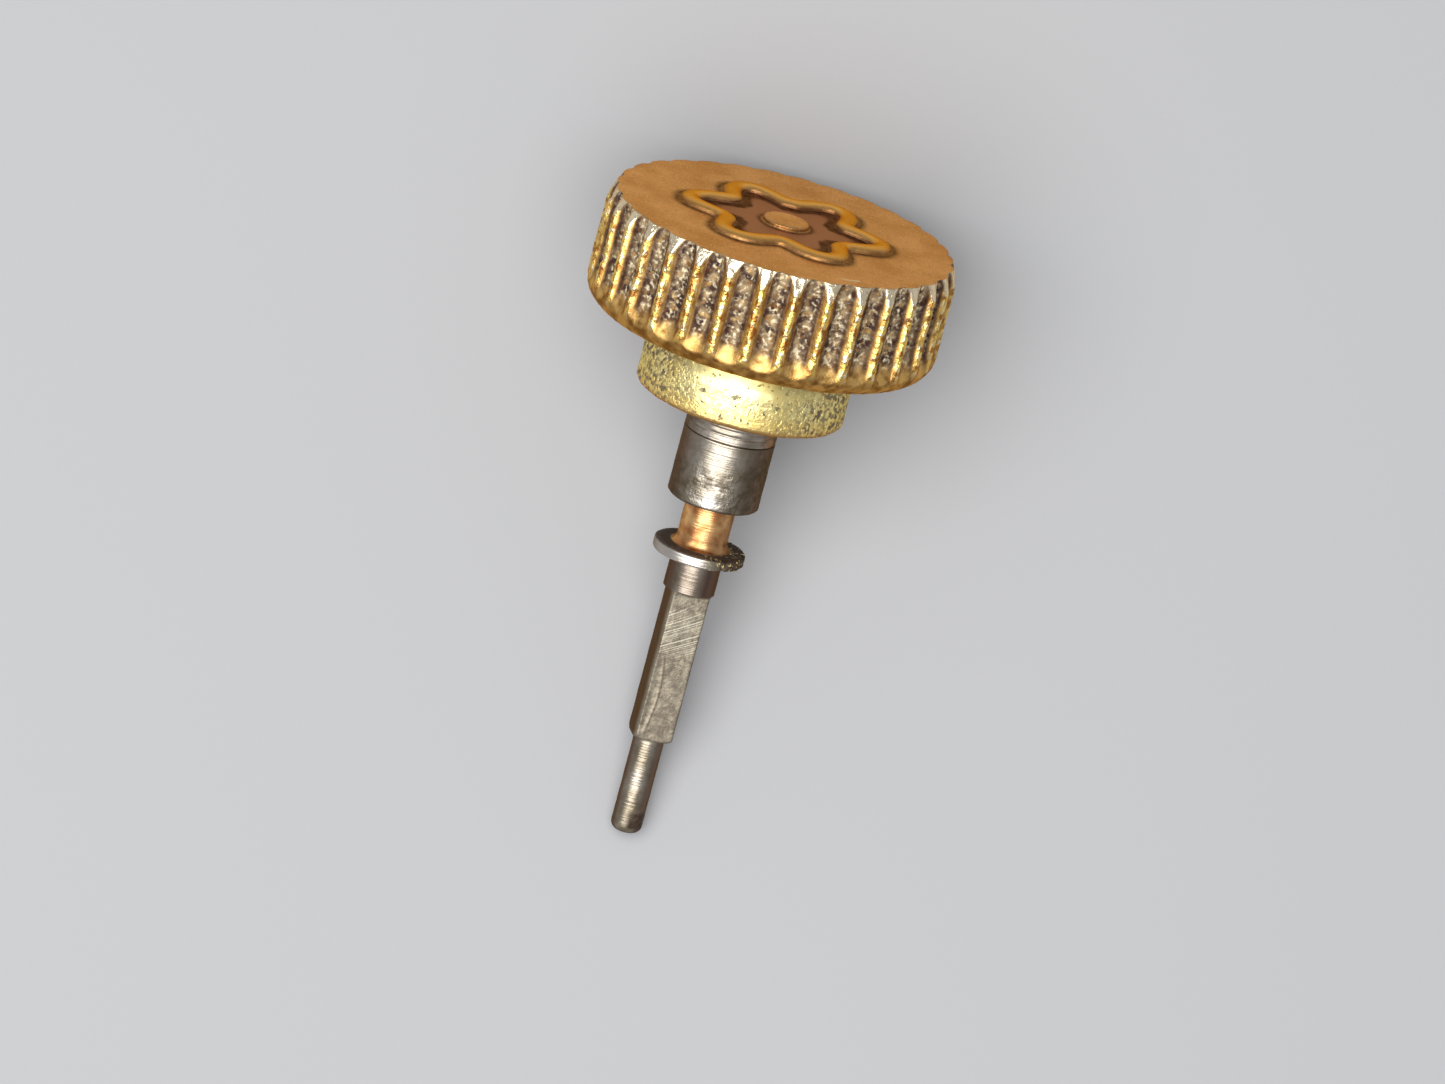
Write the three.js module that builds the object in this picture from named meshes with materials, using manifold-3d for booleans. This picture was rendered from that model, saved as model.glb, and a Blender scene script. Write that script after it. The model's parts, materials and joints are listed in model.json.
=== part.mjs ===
// A wristwatch winding crown screwed onto its winding stem, lying on its side. Millimetres, +Z up.
// Every piece is drawn upright on one axis, from the stem's tip at z = 0 up to the crown's face. The whole
// assembly is then laid down on the two places that touch a table: the stem's tip and the crown's rim.
import * as THREE from "three";
import { mergeVertices } from "three/addons/utils/BufferGeometryUtils.js";
import Module from "manifold-3d";

// Winding stem, from the tip up
const PILOT_RADIUS = 0.243;
const PILOT_LENGTH = 1.565;
const PILOT_EDGE = 0.13;
const SQUARE_SIDES = 4;
const SQUARE_ACROSS_FLATS = 0.597;
const SQUARE_LENGTH = 2.405;
const SQUARE_TURN = THREE.MathUtils.degToRad(14.7);
const SEAT_RADIUS = 0.403;
const SEAT_LENGTH = 0.559;
const FLANGE_RADIUS = 0.714;
const FLANGE_LENGTH = 0.175;
const GROOVE_RADIUS = 0.395;
const GROOVE_LENGTH = 0.749;
const GROOVE_FILLET = 0.12;
const HUB_RADIUS = 0.714;
const HUB_LENGTH = 1.098;
const EDGE_BREAK = 0.035;

// Thread between the stem and the crown: 0.90 mm, right-handed
const THREAD_RADIUS = 0.45;
const THREAD_PITCH = 0.225;
const THREAD_DEPTH = 0.54 * THREAD_PITCH;
const THREAD_CREST = THREAD_PITCH / 8;
const THREAD_LENGTH = 1.87;
const THREAD_NECK = 0.06;
const THREAD_CLEARANCE = 0.03;
const FLANK_SLOPE = Math.tan(THREE.MathUtils.degToRad(30));

// Crown, from the hub up
const POST_RADIUS = 0.714;
const POST_SHOWN = 0.517;
const POST_CAP = 0.3;
const BORE_RESERVE = 0.13;
const COLLAR_RADIUS = 1.626;
const COLLAR_LENGTH = 1.079;
const COLLAR_EDGE = 0.09;
const COLLAR_MOUTH_RADIUS = 1.25;
const HEAD_RADIUS = 2.75;
const HEAD_LENGTH = 1.819;
const HEAD_TOP_EDGE = 0.12;
const HEAD_LOWER_EDGE = 0.4;
const CAP_WALL = 0.16;
const CAP_LIP_RADIUS = 1.95;
const CORE_RADIUS = 2.46;
const CORE_BEVEL = 0.3;

// Coin edge: narrow crests with wide hollow flutes between them
const TEETH = 32;
const FLUTE_DEPTH = 0.15;
const CREST_SHARE = 0.14;
const CREST_TURN = THREE.MathUtils.degToRad(-1.84);
const COLUMNS_PER_TOOTH = 4;

// Seal in the collar's recess
const POCKET_RADIUS = 1.33;
const POCKET_DEPTH = 0.54;
const GASKET_LENGTH = 0.34;
const GASKET_BEVEL = 0.085;
const WASHER_LENGTH = 0.12;
const WASHER_CLEARANCE = 0.06;

// Relief on the face: a flower outline of six lobes round a small boss
const LOBES = 6;
const FLOWER_RADIUS = 1.28;
const LOBE_SWELL = 0.22;
const STEPS_PER_LOBE = 8;
const RIDGE_HALF_WIDTH = 0.15;
const RIDGE_HEIGHT = 0.1;
const BOSS_RADIUS = 0.36;

const GAP = 0.02;
const ROUND_SEGMENTS = 32;
const ARC_STEPS = 3;
const STEPS_PER_TURN = 16;
const MERGE_DISTANCE = 1e-4;

// Heights along the axis
const SQUARE_START = PILOT_LENGTH;
const SEAT_START = SQUARE_START + SQUARE_LENGTH;
const FLANGE_START = SEAT_START + SEAT_LENGTH;
const GROOVE_START = FLANGE_START + FLANGE_LENGTH;
const HUB_START = GROOVE_START + GROOVE_LENGTH;
const HUB_END = HUB_START + HUB_LENGTH;
const THREAD_END = HUB_END + THREAD_LENGTH;
const POST_START = HUB_END + GAP;
const BORE_END = THREAD_END + BORE_RESERVE;
const POST_END = BORE_END + POST_CAP;
const COLLAR_START = HUB_END + POST_SHOWN;
const HEAD_START = COLLAR_START + COLLAR_LENGTH;
const FACE = HEAD_START + HEAD_LENGTH;
const POCKET_END = HEAD_START + CAP_WALL / 2;
const POCKET_START = POCKET_END - POCKET_DEPTH;

const wasm = await Module();
wasm.setup();

function toSolid(geometry) {
  const bare = geometry.clone();
  bare.deleteAttribute("normal");
  bare.deleteAttribute("uv");
  const merged = mergeVertices(bare, MERGE_DISTANCE);
  return new wasm.Manifold(
    new wasm.Mesh({
      numProp: 3,
      vertProperties: merged.attributes.position.array,
      triVerts: new Uint32Array(merged.index.array),
    }),
  );
}

function toGeometry(solid) {
  const mesh = solid.getMesh();
  const geometry = new THREE.BufferGeometry();
  geometry.setAttribute("position", new THREE.BufferAttribute(mesh.vertProperties, 3));
  geometry.setIndex(new THREE.BufferAttribute(mesh.triVerts, 1));
  geometry.computeVertexNormals();
  return geometry;
}

// Revolves [radius, height] points about +Z. An outside surface runs upwards.
function turned(points, segments = ROUND_SEGMENTS) {
  const profile = points.map(([radius, height]) => new THREE.Vector2(radius, height));
  return new THREE.LatheGeometry(profile, segments).rotateX(Math.PI / 2);
}

function arc(centreRadius, centreHeight, radius, fromDegrees, toDegrees) {
  const points = [];
  for (let step = 0; step <= ARC_STEPS; step++) {
    const degrees = THREE.MathUtils.lerp(fromDegrees, toDegrees, step / ARC_STEPS);
    const angle = THREE.MathUtils.degToRad(degrees);
    points.push([
      centreRadius + radius * Math.cos(angle),
      centreHeight + radius * Math.sin(angle),
    ]);
  }
  return points;
}

// A right-handed thread ridge as one closed band that widens from its crest down to innerRadius.
function threadRidge(innerRadius, crestRadius, startHeight, turns) {
  const crest = THREAD_CREST / 2;
  const foot = crest + (crestRadius - innerRadius) * FLANK_SLOPE;
  const section = [
    [innerRadius, -foot],
    [crestRadius, -crest],
    [crestRadius, crest],
    [innerRadius, foot],
  ];
  const steps = Math.round(turns * STEPS_PER_TURN);
  const positions = [];
  const indices = [];
  for (let step = 0; step <= steps; step++) {
    const turn = step / STEPS_PER_TURN;
    const angle = turn * 2 * Math.PI;
    for (const [radius, offset] of section) {
      const height = startHeight + turn * THREAD_PITCH + offset;
      positions.push(radius * Math.cos(angle), radius * Math.sin(angle), height);
    }
  }
  const corners = section.length;
  for (let step = 0; step < steps; step++) {
    for (let corner = 0; corner < corners; corner++) {
      const a = step * corners + corner;
      const b = step * corners + ((corner + 1) % corners);
      indices.push(a, a + corners, b, b, a + corners, b + corners);
    }
  }
  const last = steps * corners;
  indices.push(0, 1, 2, 0, 2, 3);
  indices.push(last, last + 2, last + 1, last, last + 3, last + 2);
  const geometry = new THREE.BufferGeometry();
  geometry.setAttribute("position", new THREE.Float32BufferAttribute(positions, 3));
  geometry.setIndex(indices);
  return geometry;
}

// The stem's outside thread, with a plain neck at the hub and a bevelled end.
function stemThread() {
  const start = HUB_END + THREAD_NECK;
  const turns = THREAD_LENGTH / THREAD_PITCH + 1;
  const ridge = threadRidge(THREAD_RADIUS - THREAD_DEPTH - GAP, THREAD_RADIUS, HUB_END, turns);
  const envelope = turned([
    [0, start],
    [THREAD_RADIUS + GAP, start],
    [THREAD_RADIUS + GAP, THREAD_END - THREAD_DEPTH],
    [THREAD_RADIUS - THREAD_DEPTH, THREAD_END],
    [0, THREAD_END],
  ]);
  return toSolid(ridge).intersect(toSolid(envelope));
}

function windingStem() {
  const threadRoot = THREAD_RADIUS - THREAD_DEPTH;
  const blank = turned([
    [0, 0],
    ...arc(PILOT_RADIUS - PILOT_EDGE, PILOT_EDGE, PILOT_EDGE, -90, 0),
    [PILOT_RADIUS, SQUARE_START],
    [SEAT_RADIUS - EDGE_BREAK, SQUARE_START],
    [SEAT_RADIUS, SQUARE_START + EDGE_BREAK],
    [SEAT_RADIUS, FLANGE_START],
    [FLANGE_RADIUS - EDGE_BREAK, FLANGE_START],
    [FLANGE_RADIUS, FLANGE_START + EDGE_BREAK],
    [FLANGE_RADIUS, GROOVE_START - EDGE_BREAK],
    [FLANGE_RADIUS - EDGE_BREAK, GROOVE_START],
    ...arc(GROOVE_RADIUS + GROOVE_FILLET, GROOVE_START + GROOVE_FILLET, GROOVE_FILLET, 270, 180),
    [GROOVE_RADIUS, HUB_START],
    [HUB_RADIUS - EDGE_BREAK, HUB_START],
    [HUB_RADIUS, HUB_START + EDGE_BREAK],
    [HUB_RADIUS, HUB_END - EDGE_BREAK],
    [HUB_RADIUS - EDGE_BREAK, HUB_END],
    [threadRoot, HUB_END],
    [threadRoot, THREAD_END],
    [0, THREAD_END],
  ]);
  let stem = toSolid(blank).add(stemThread());
  for (let side = 0; side < SQUARE_SIDES; side++) {
    const chip = new THREE.BoxGeometry(SEAT_RADIUS, 2 * SEAT_RADIUS, SQUARE_LENGTH);
    chip.translate((SQUARE_ACROSS_FLATS + SEAT_RADIUS) / 2, 0, SQUARE_START + SQUARE_LENGTH / 2);
    chip.rotateZ(SQUARE_TURN + (side * 2 * Math.PI) / SQUARE_SIDES);
    stem = stem.subtract(toSolid(chip));
  }
  return toGeometry(stem);
}

function crownPost() {
  const boreRadius = THREAD_RADIUS - THREAD_DEPTH + THREAD_CLEARANCE;
  const crestRadius = THREAD_RADIUS + THREAD_CLEARANCE;
  const below = POST_START - THREAD_PITCH;
  const blank = turned([
    [0, POST_START],
    [POST_RADIUS - EDGE_BREAK, POST_START],
    [POST_RADIUS, POST_START + EDGE_BREAK],
    [POST_RADIUS, POST_END],
    [0, POST_END],
  ]);
  const bore = turned([
    [0, below],
    [crestRadius, below],
    [crestRadius, POST_START],
    [boreRadius, POST_START + THREAD_DEPTH],
    [boreRadius, BORE_END],
    [0, BORE_END],
  ]);
  const turns = (BORE_END - HUB_END) / THREAD_PITCH;
  const ridge = threadRidge(boreRadius - GAP, crestRadius, HUB_END - THREAD_PITCH, turns);
  return toGeometry(toSolid(blank).subtract(toSolid(bore)).subtract(toSolid(ridge)));
}

function crownCore() {
  const boreRadius = POST_RADIUS + GAP;
  const coreStart = HEAD_START + CAP_WALL + GAP;
  const coreEnd = FACE - CAP_WALL - GAP;
  return turned([
    [0, POST_END + GAP],
    [boreRadius, POST_END + GAP],
    [boreRadius, POCKET_END],
    [POCKET_RADIUS, POCKET_END],
    [POCKET_RADIUS, POCKET_START],
    [COLLAR_MOUTH_RADIUS, POCKET_START],
    [COLLAR_MOUTH_RADIUS, COLLAR_START],
    ...arc(COLLAR_RADIUS - COLLAR_EDGE, COLLAR_START + COLLAR_EDGE, COLLAR_EDGE, -90, 0),
    [COLLAR_RADIUS, HEAD_START],
    [CAP_LIP_RADIUS - GAP, HEAD_START],
    [CAP_LIP_RADIUS - GAP, coreStart],
    [CORE_RADIUS - CORE_BEVEL, coreStart],
    [CORE_RADIUS, coreStart + CORE_BEVEL],
    [CORE_RADIUS, coreEnd],
    [0, coreEnd],
  ]);
}

// Radius of the toothed outline at an angle: full radius on a crest, and a round hollow from crest to crest.
function toothedRadius(angle) {
  const pitches = (angle * TEETH) / (2 * Math.PI);
  const fromCrest = 2 * Math.abs(pitches - Math.round(pitches));
  const fromMiddle = Math.min(1, (1 - fromCrest) / (1 - CREST_SHARE));
  return HEAD_RADIUS - FLUTE_DEPTH * (1 - fromMiddle ** 2);
}

// Clips a turned blank to the toothed outline, so that the flutes run out in its rounded edges.
function clipToTeeth(geometry) {
  const position = geometry.attributes.position;
  for (let i = 0; i < position.count; i++) {
    const x = position.getX(i);
    const y = position.getY(i);
    const radius = Math.hypot(x, y);
    const limit = toothedRadius(Math.atan2(y, x));
    if (radius > limit) {
      position.setXY(i, (x * limit) / radius, (y * limit) / radius);
    }
  }
  return geometry;
}

// The flower's outline, moved outwards by offset, as a closed path.
function flowerPath(path, offset) {
  const points = [];
  const steps = LOBES * STEPS_PER_LOBE;
  for (let step = 0; step < steps; step++) {
    const angle = (step / steps) * 2 * Math.PI;
    const radius = FLOWER_RADIUS + LOBE_SWELL * Math.cos(LOBES * angle) + offset;
    points.push(new THREE.Vector2(radius * Math.cos(angle), radius * Math.sin(angle)));
  }
  return path.setFromPoints(points);
}

function faceRelief() {
  const ridge = flowerPath(new THREE.Shape(), RIDGE_HALF_WIDTH);
  ridge.holes.push(flowerPath(new THREE.Path(), -RIDGE_HALF_WIDTH));
  const depth = RIDGE_HEIGHT + GAP;
  const band = new THREE.ExtrudeGeometry(ridge, { depth, bevelEnabled: false });
  band.translate(0, 0, FACE - GAP);
  const boss = turned([
    [0, FACE - GAP],
    [BOSS_RADIUS, FACE - GAP],
    [BOSS_RADIUS - RIDGE_HEIGHT / 2, FACE + RIDGE_HEIGHT],
    [0, FACE + RIDGE_HEIGHT],
  ]);
  return toSolid(band).add(toSolid(boss));
}

function crownCap() {
  const wallRadius = CORE_RADIUS + GAP;
  const lipTop = HEAD_START + CAP_WALL;
  const shell = turned(
    [
      [0, FACE - CAP_WALL],
      [wallRadius, FACE - CAP_WALL],
      [wallRadius, lipTop + CORE_BEVEL],
      [wallRadius - CORE_BEVEL, lipTop],
      [CAP_LIP_RADIUS, lipTop],
      [CAP_LIP_RADIUS, HEAD_START],
      ...arc(HEAD_RADIUS - HEAD_LOWER_EDGE, HEAD_START + HEAD_LOWER_EDGE, HEAD_LOWER_EDGE, -90, 0),
      ...arc(HEAD_RADIUS - HEAD_TOP_EDGE, FACE - HEAD_TOP_EDGE, HEAD_TOP_EDGE, 0, 90),
      [0, FACE],
    ],
    TEETH * COLUMNS_PER_TOOTH,
  );
  const head = clipToTeeth(shell).rotateZ(CREST_TURN);
  return toGeometry(toSolid(head).add(faceRelief()));
}

function sealGasket() {
  const inner = POST_RADIUS + GAP;
  const outer = POCKET_RADIUS - GAP;
  const end = POCKET_END - GAP;
  const start = end - GASKET_LENGTH;
  return turned([
    [inner, start + GASKET_BEVEL],
    [inner + GASKET_BEVEL, start],
    [outer - GASKET_BEVEL, start],
    [outer, start + GASKET_BEVEL],
    [outer, end - GASKET_BEVEL],
    [outer - GASKET_BEVEL, end],
    [inner + GASKET_BEVEL, end],
    [inner, end - GASKET_BEVEL],
    [inner, start + GASKET_BEVEL],
  ]);
}

function sealWasher() {
  const inner = POST_RADIUS + WASHER_CLEARANCE;
  const outer = POCKET_RADIUS - GAP;
  const start = POCKET_START + GAP;
  const end = start + WASHER_LENGTH;
  return turned([
    [inner, start],
    [outer, start],
    [outer, end],
    [inner, end],
    [inner, start],
  ]);
}

// The tilt at which the rounded tip and the head's rounded lower rim stand equally low: both are arcs, so the
// lowest points are the arc centres moved down by their radii. The head stands on the crest nearest the table.
function restTilt() {
  const headAcross = HEAD_RADIUS * Math.cos(CREST_TURN) - HEAD_LOWER_EDGE;
  const across = headAcross - (PILOT_RADIUS - PILOT_EDGE);
  const along = HEAD_START + HEAD_LOWER_EDGE - PILOT_EDGE;
  const drop = PILOT_EDGE - HEAD_LOWER_EDGE;
  return Math.acos(drop / Math.hypot(across, along)) - Math.atan2(along, across);
}

function piece(name, geometry, color, roughness, metalness) {
  const mesh = new THREE.Mesh(geometry, new THREE.MeshStandardMaterial({ color, roughness, metalness }));
  mesh.name = name;
  return mesh;
}

const assembly = new THREE.Group();
assembly.add(
  piece("winding_stem", windingStem(), 0x6f6a5e, 0.4, 1),
  piece("crown_cap", crownCap(), 0xa8742e, 0.35, 1),
  piece("crown_core", crownCore(), 0xc9ad5e, 0.3, 1),
  piece("crown_post", crownPost(), 0x77736a, 0.35, 1),
  piece("seal_gasket", sealGasket(), 0x1a1a1a, 0.8, 0),
  piece("seal_washer", sealWasher(), 0xb9b6ae, 0.35, 1),
);
assembly.rotation.x = restTilt() - Math.PI / 2;

// The origin is the middle of the footprint, at table height.
const part = new THREE.Group();
part.add(assembly);
const bounds = new THREE.Box3().setFromObject(part, true);
const middle = bounds.getCenter(new THREE.Vector3());
assembly.position.set(-middle.x, -middle.y, -bounds.min.z);

export default part;
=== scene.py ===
import json
import math

import bpy
import numpy as np
from mathutils import Matrix, Vector, noise


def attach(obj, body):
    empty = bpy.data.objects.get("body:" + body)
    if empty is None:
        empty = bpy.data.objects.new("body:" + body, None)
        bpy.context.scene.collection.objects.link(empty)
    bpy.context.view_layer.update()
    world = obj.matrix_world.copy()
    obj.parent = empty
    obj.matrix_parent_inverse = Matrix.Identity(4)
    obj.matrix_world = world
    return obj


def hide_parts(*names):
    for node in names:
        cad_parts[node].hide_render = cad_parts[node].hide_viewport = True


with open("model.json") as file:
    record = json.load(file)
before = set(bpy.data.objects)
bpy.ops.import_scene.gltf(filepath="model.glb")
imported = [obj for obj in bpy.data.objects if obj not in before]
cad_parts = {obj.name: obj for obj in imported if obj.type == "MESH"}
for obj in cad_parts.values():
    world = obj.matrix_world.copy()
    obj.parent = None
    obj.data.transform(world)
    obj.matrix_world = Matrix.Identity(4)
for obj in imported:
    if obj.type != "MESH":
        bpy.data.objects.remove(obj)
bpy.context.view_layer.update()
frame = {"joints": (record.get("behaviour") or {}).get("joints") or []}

# Every piece is drawn upright, in millimetres, with the stem's tip at height 0 and the crown's face at the
# top, and is then laid along the CAD axis.
PILOT_RADIUS = 0.243
PILOT_EDGE = 0.13
SQUARE_START = 1.565
SQUARE_HALF_WIDTH = 0.2985
SQUARE_TURN = math.radians(14.7)
SQUARE_ROUNDING = 0.01
SEAT_START = 3.970
SEAT_RADIUS = 0.403
FLANGE_START = 4.529
FLANGE_RADIUS = 0.714
GROOVE_START = 4.704
GROOVE_RADIUS = 0.395
GROOVE_FILLET = 0.12
HUB_START = 5.453
HUB_END = 6.551
HUB_RADIUS = 0.714

THREAD_RADIUS = 0.45
THREAD_PITCH = 0.225
THREAD_DEPTH = 0.1215
THREAD_ROOT = THREAD_RADIUS - THREAD_DEPTH
THREAD_START = 6.611
THREAD_END = 8.421
THREAD_CLEARANCE = 0.03

POST_START = 6.571
HAIRLINE = 0.004
POST_BORE_END = 8.551
POST_END = 8.851
POST_RADIUS = 0.714
COLLAR_START = 7.068
COLLAR_RADIUS = 1.626
COLLAR_MOUTH_RADIUS = 1.25
COLLAR_EDGE = 0.09
HEAD_START = 8.147
HEAD_RADIUS = 2.75
HEAD_LOWER_EDGE = 0.4
FACE = 9.966
LIP_RADIUS = 1.95
CAP_WALL = 0.16
CORE_RADIUS = 2.46
CORE_BEVEL = 0.3
GAP = 0.02

TEETH = 32
FLUTE_DEPTH = 0.15
CREST_SHARE = 0.14
CREST_TURN = math.radians(-1.84)
COLUMNS_PER_TOOTH = 20
LOW_FLUTE_SHARE = 0.22
CREST_ROUNDING = 0.012
TOP_BEVEL = 0.28
BEVEL_DEPTH = 0.106
BEVEL_POWER = 1.15
FACE_RADIUS = HEAD_RADIUS - BEVEL_DEPTH
SCALLOP_START = 2.0
LOBES = 6
FLOWER_RADIUS = 1.28
LOBE_SWELL = 0.22
RIDGE_HALF_WIDTH = 0.15
RELIEF_HEIGHT = 0.1
BOSS_RADIUS = 0.36
BOSS_HEIGHT = 0.08

POCKET_START = 7.687
POCKET_END = 8.227
POCKET_RADIUS = 1.33
GASKET_LENGTH = 0.34
WASHER_LENGTH = 0.12
WASHER_CLEARANCE = 0.06

# Specular level of every finish. It shows only where a surface isn't bare metal: on dirt, rubber and the
# floor.
NON_METAL_GLOSS = 0.15

MM = 0.001
UPPERMOST = -math.pi / 2

# Two lengths in millimetres this close count as the same.
NEARLY = 1e-6

# Half the width in millimetres of a zone's edge that should look sharp.
SHARP = 1e-3


def find_joint(name):
    return next(joint for joint in frame["joints"] if joint["name"] == name)


def axis_frame():
    """The matrix that takes upright millimetres to the row frame in metres."""
    turn = find_joint("crown_turn")
    along = Vector(turn["axis"]).normalized()
    across = Vector((1, 0, 0))
    tip = Vector(turn["pos_m"]) - along * HUB_END * MM
    rows = Matrix((across, along.cross(across), along)).transposed() * MM
    return Matrix.Translation(tip) @ rows.to_4x4()


TO_ROW = axis_frame()


# ---------------------------------------------------------------- profiles and skins


def line(start, end, spacing):
    """Points from start to end in the plane of radius and height, without the last one."""
    start, end = np.array(start, float), np.array(end, float)
    count = max(1, math.ceil(np.linalg.norm(end - start) / spacing))
    share = np.arange(count)[:, None] / count
    return start + (end - start) * share


def arc(centre, radii, start_degrees, end_degrees, spacing):
    """Points on a part of an ellipse with radii (across, along), without the last one."""
    turn = math.radians(end_degrees - start_degrees)
    count = max(3, math.ceil(abs(turn) * max(radii) / spacing))
    angle = math.radians(start_degrees) + turn * np.arange(count) / count
    across = centre[0] + radii[0] * np.cos(angle)
    along = centre[1] + radii[1] * np.sin(angle)
    return np.stack([across, along], 1)


def profile(*pieces):
    """One list of (radius, height) rows from lines, arcs and single points."""
    return np.concatenate([np.atleast_2d(np.array(piece, float)) for piece in pieces])


def spread(points, columns, first=0.0):
    """Turns a profile into grids of angle, radius and height, one row for each of its points."""
    angle = first + np.arange(columns) * 2 * math.pi / columns
    angle, radius = np.meshgrid(angle, points[:, 0])
    height = np.repeat(points[:, 1][:, None], columns, 1)
    return angle, radius, height


def place(angle, radius, height):
    return np.stack([radius * np.cos(angle), radius * np.sin(angle), height], -1)


def grid_normals(points):
    """Outward normals of a grid whose rows run up an outside surface."""
    around = np.roll(points, -1, 1) - np.roll(points, 1, 1)
    up = np.gradient(points, axis=0)
    normal = np.cross(around, up)
    length = np.linalg.norm(normal, axis=-1, keepdims=True)
    return normal / np.maximum(length, 1e-12)


def sunk(points, depth):
    """Moves the surface inwards by depth, so that wear only takes material away."""
    return points - grid_normals(points) * depth[..., None]


def smooth_min(a, b, reach):
    share = np.clip(0.5 + 0.5 * (b - a) / reach, 0, 1)
    return b + (a - b) * share - reach * share * (1 - share)


def bell(value, width):
    return np.exp(-((value / width) ** 2))


def step(value, low, high):
    share = np.clip((value - low) / (high - low), 0, 1)
    return share * share * (3 - 2 * share)


def between(value, low, high, soft):
    """1 from low to high, with soft ends."""
    return step(value, low - soft, low + soft) * (1 - step(value, high - soft, high + soft))


def side_angle(angle, middle):
    """Angle from the line at middle, from minus to plus half a turn."""
    return (angle - middle + math.pi) % (2 * math.pi) - math.pi


def rough(points, size, seed, octaves=3):
    """Fractal noise from 0 to 1 at each point, with features of about that size in millimetres."""
    shift = Vector((seed * 17.3, seed * 5.1, seed * 9.7))
    flat = points.reshape(-1, 3) / size
    values = np.array([noise.fractal(Vector(p) + shift, 1.0, 2.0, octaves) for p in flat])
    return np.clip(0.5 + 0.5 * values, 0, 1).reshape(points.shape[:-1])


def skin(name, points, closed=False, attributes=None):
    """A mesh from a grid of points that closes round its columns. A row on the axis becomes one point, and
    closed joins the last row to the first."""
    rows, columns = points.shape[:2]
    on_axis = [bool(np.all(np.hypot(row[:, 0], row[:, 1]) < 1e-9)) for row in points]
    first = []
    chosen = []
    for row in range(rows):
        first.append(len(chosen))
        count = 1 if on_axis[row] else columns
        chosen.extend(row * columns + column for column in range(count))
    faces = []
    for row in range(rows if closed else rows - 1):
        above = (row + 1) % rows
        for column in range(columns):
            right = (column + 1) % columns
            a = first[row] + (0 if on_axis[row] else column)
            b = first[row] + (0 if on_axis[row] else right)
            c = first[above] + (0 if on_axis[above] else right)
            d = first[above] + (0 if on_axis[above] else column)
            faces.append([v for i, v in enumerate((a, b, c, d)) if v not in (a, b, c, d)[:i]])
    mesh = bpy.data.meshes.new(name)
    flat = points.reshape(-1, 3)[chosen]
    world = flat @ np.array(TO_ROW.to_3x3()).T + np.array(TO_ROW.translation)
    mesh.from_pydata(world.tolist(), [], faces)
    mesh.polygons.foreach_set("use_smooth", [True] * len(mesh.polygons))
    for key, grid in (attributes or {}).items():
        layer = mesh.attributes.new(key, "FLOAT", "POINT")
        layer.data.foreach_set("value", grid.reshape(-1)[chosen].astype(np.float32))
    mesh.update()
    piece = bpy.data.objects.new(name, mesh)
    bpy.context.scene.collection.objects.link(piece)
    return piece


def settle(piece, material, body, node):
    """Gives a piece its material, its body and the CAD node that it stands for."""
    piece.data.materials.append(material)
    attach(piece, body)
    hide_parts(node)


# ---------------------------------------------------------------- material building blocks


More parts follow.
